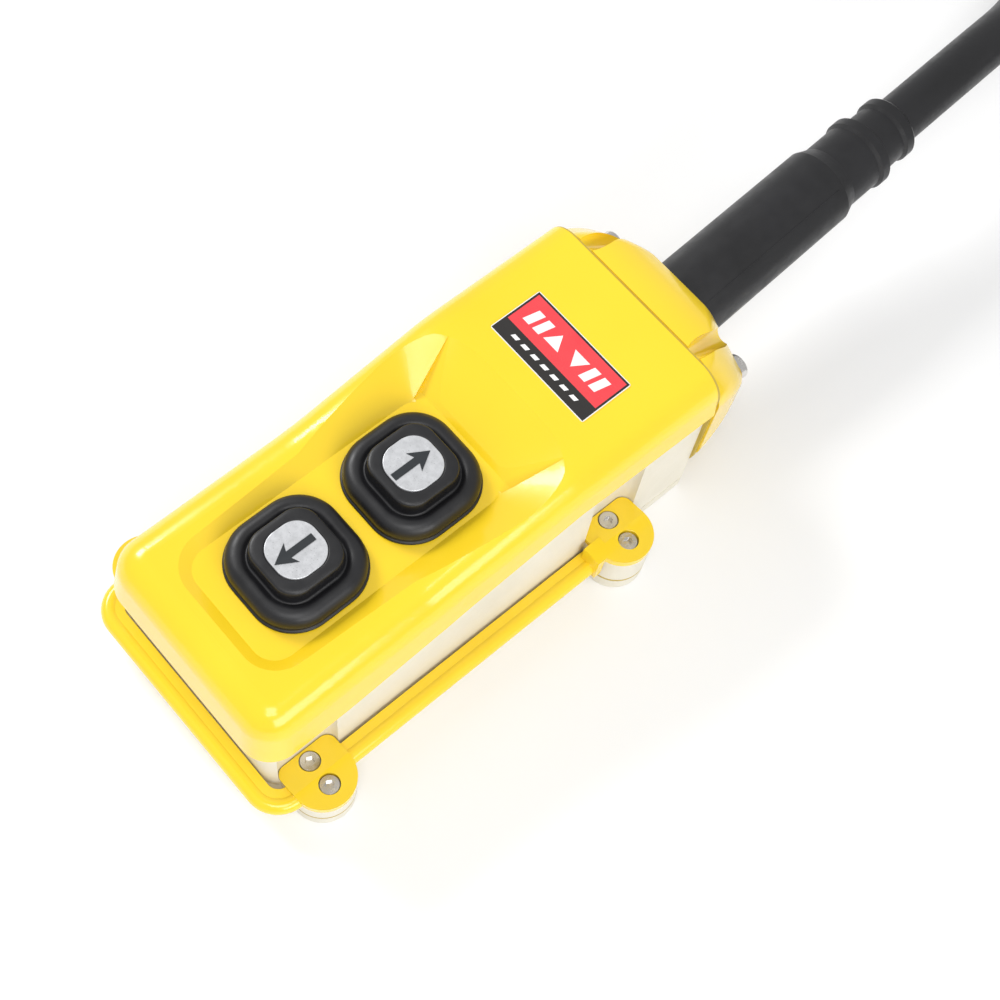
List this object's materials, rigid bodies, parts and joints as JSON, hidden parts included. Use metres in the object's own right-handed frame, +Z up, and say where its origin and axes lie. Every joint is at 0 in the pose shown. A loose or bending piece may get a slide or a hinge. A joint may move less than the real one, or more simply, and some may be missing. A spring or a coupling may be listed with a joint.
{
  "type": "pendant control station",
  "caption": "Hand-held hoist pendant lying on its back: long moulded housing, square push buttons in rubber boots, screwed guard frame and a sleeved cable ending in a round connector.",
  "frame": {"origin": "middle of the body's back face, on the surface it rests on, half way between the buttons", "axes": "+X across the body, +Y along it from the button end to the cable, +Z up out of the button face"},
  "size_m": [0.2045, 0.6383, 0.0664],
  "materials": {
    "yellow_gloss": "gloss",
    "cream_grain": "fine grain",
    "seal_rubber": "matt",
    "black_rubber": "satin",
    "screw_steel": "bright",
    "satin_plate": "satin",
    "dark_print": "printed",
    "label_film": "gloss",
    "contact_body": "moulded",
    "contact_brass": "bright",
    "steel_plate": "zinc plated",
    "cable_jacket": "satin",
    "wire_grey": "smooth",
    "plug_metal": "satin"
  },
  "bodies": {
    "station": {"front_cover": "yellow_gloss", "front_seal": "seal_rubber", "rear_housing": "cream_grain", "rear_seal": "seal_rubber", "rear_cover": "cream_grain", "guard_frame": "yellow_gloss", "gland_seal": "seal_rubber", "gland_cap": "yellow_gloss", "gland_screws": "screw_steel", "strain_relief": "black_rubber", "cable_core": "wire_grey", "cable_coil": "cable_jacket", "plug_body": "black_rubber", "plug_shell": "plug_metal", "plug_insert": "contact_body", "plug_pins": "contact_brass", "switch_plate": "steel_plate", "plate_screws": "screw_steel", "clamp_bar": "contact_body", "clamp_strap": "steel_plate", "clamp_screws": "screw_steel", "label_plate": "label_film", "lug_screws_short": "screw_steel", "lug_screws_long": "screw_steel", "cable": "cable_jacket", "cable_tail": "cable_jacket", "boot_up": "black_rubber", "retainer_up": "contact_body", "spring_up": "screw_steel", "block_up": "contact_body", "contacts_up": "contact_brass", "terminals_up": "screw_steel", "wires_up": "wire_grey", "boot_down": "black_rubber", "retainer_down": "contact_body", "spring_down": "screw_steel", "block_down": "contact_body", "contacts_down": "contact_brass", "terminals_down": "screw_steel", "wires_down": "wire_grey"},
    "button_up": {"plunger_up": "contact_body", "inlay_up": "satin_plate", "arrow_up": "dark_print", "bridge_up": "contact_brass"},
    "button_down": {"plunger_down": "contact_body", "inlay_down": "satin_plate", "arrow_down": "dark_print", "bridge_down": "contact_brass"}
  },
  "joints": [
    {"name": "up_press", "type": "slide", "parent": "station", "child": "button_up", "axis": [0, 0, -1], "range_m": [0, 0.0035], "stiffness_N_per_m": 900, "springref_m": -0.004, "deforming": ["boot_up", "spring_up"]},
    {"name": "down_press", "type": "slide", "parent": "station", "child": "button_down", "axis": [0, 0, -1], "range_m": [0, 0.0035], "stiffness_N_per_m": 900, "springref_m": -0.004, "deforming": ["boot_down", "spring_down"]}
  ]
}
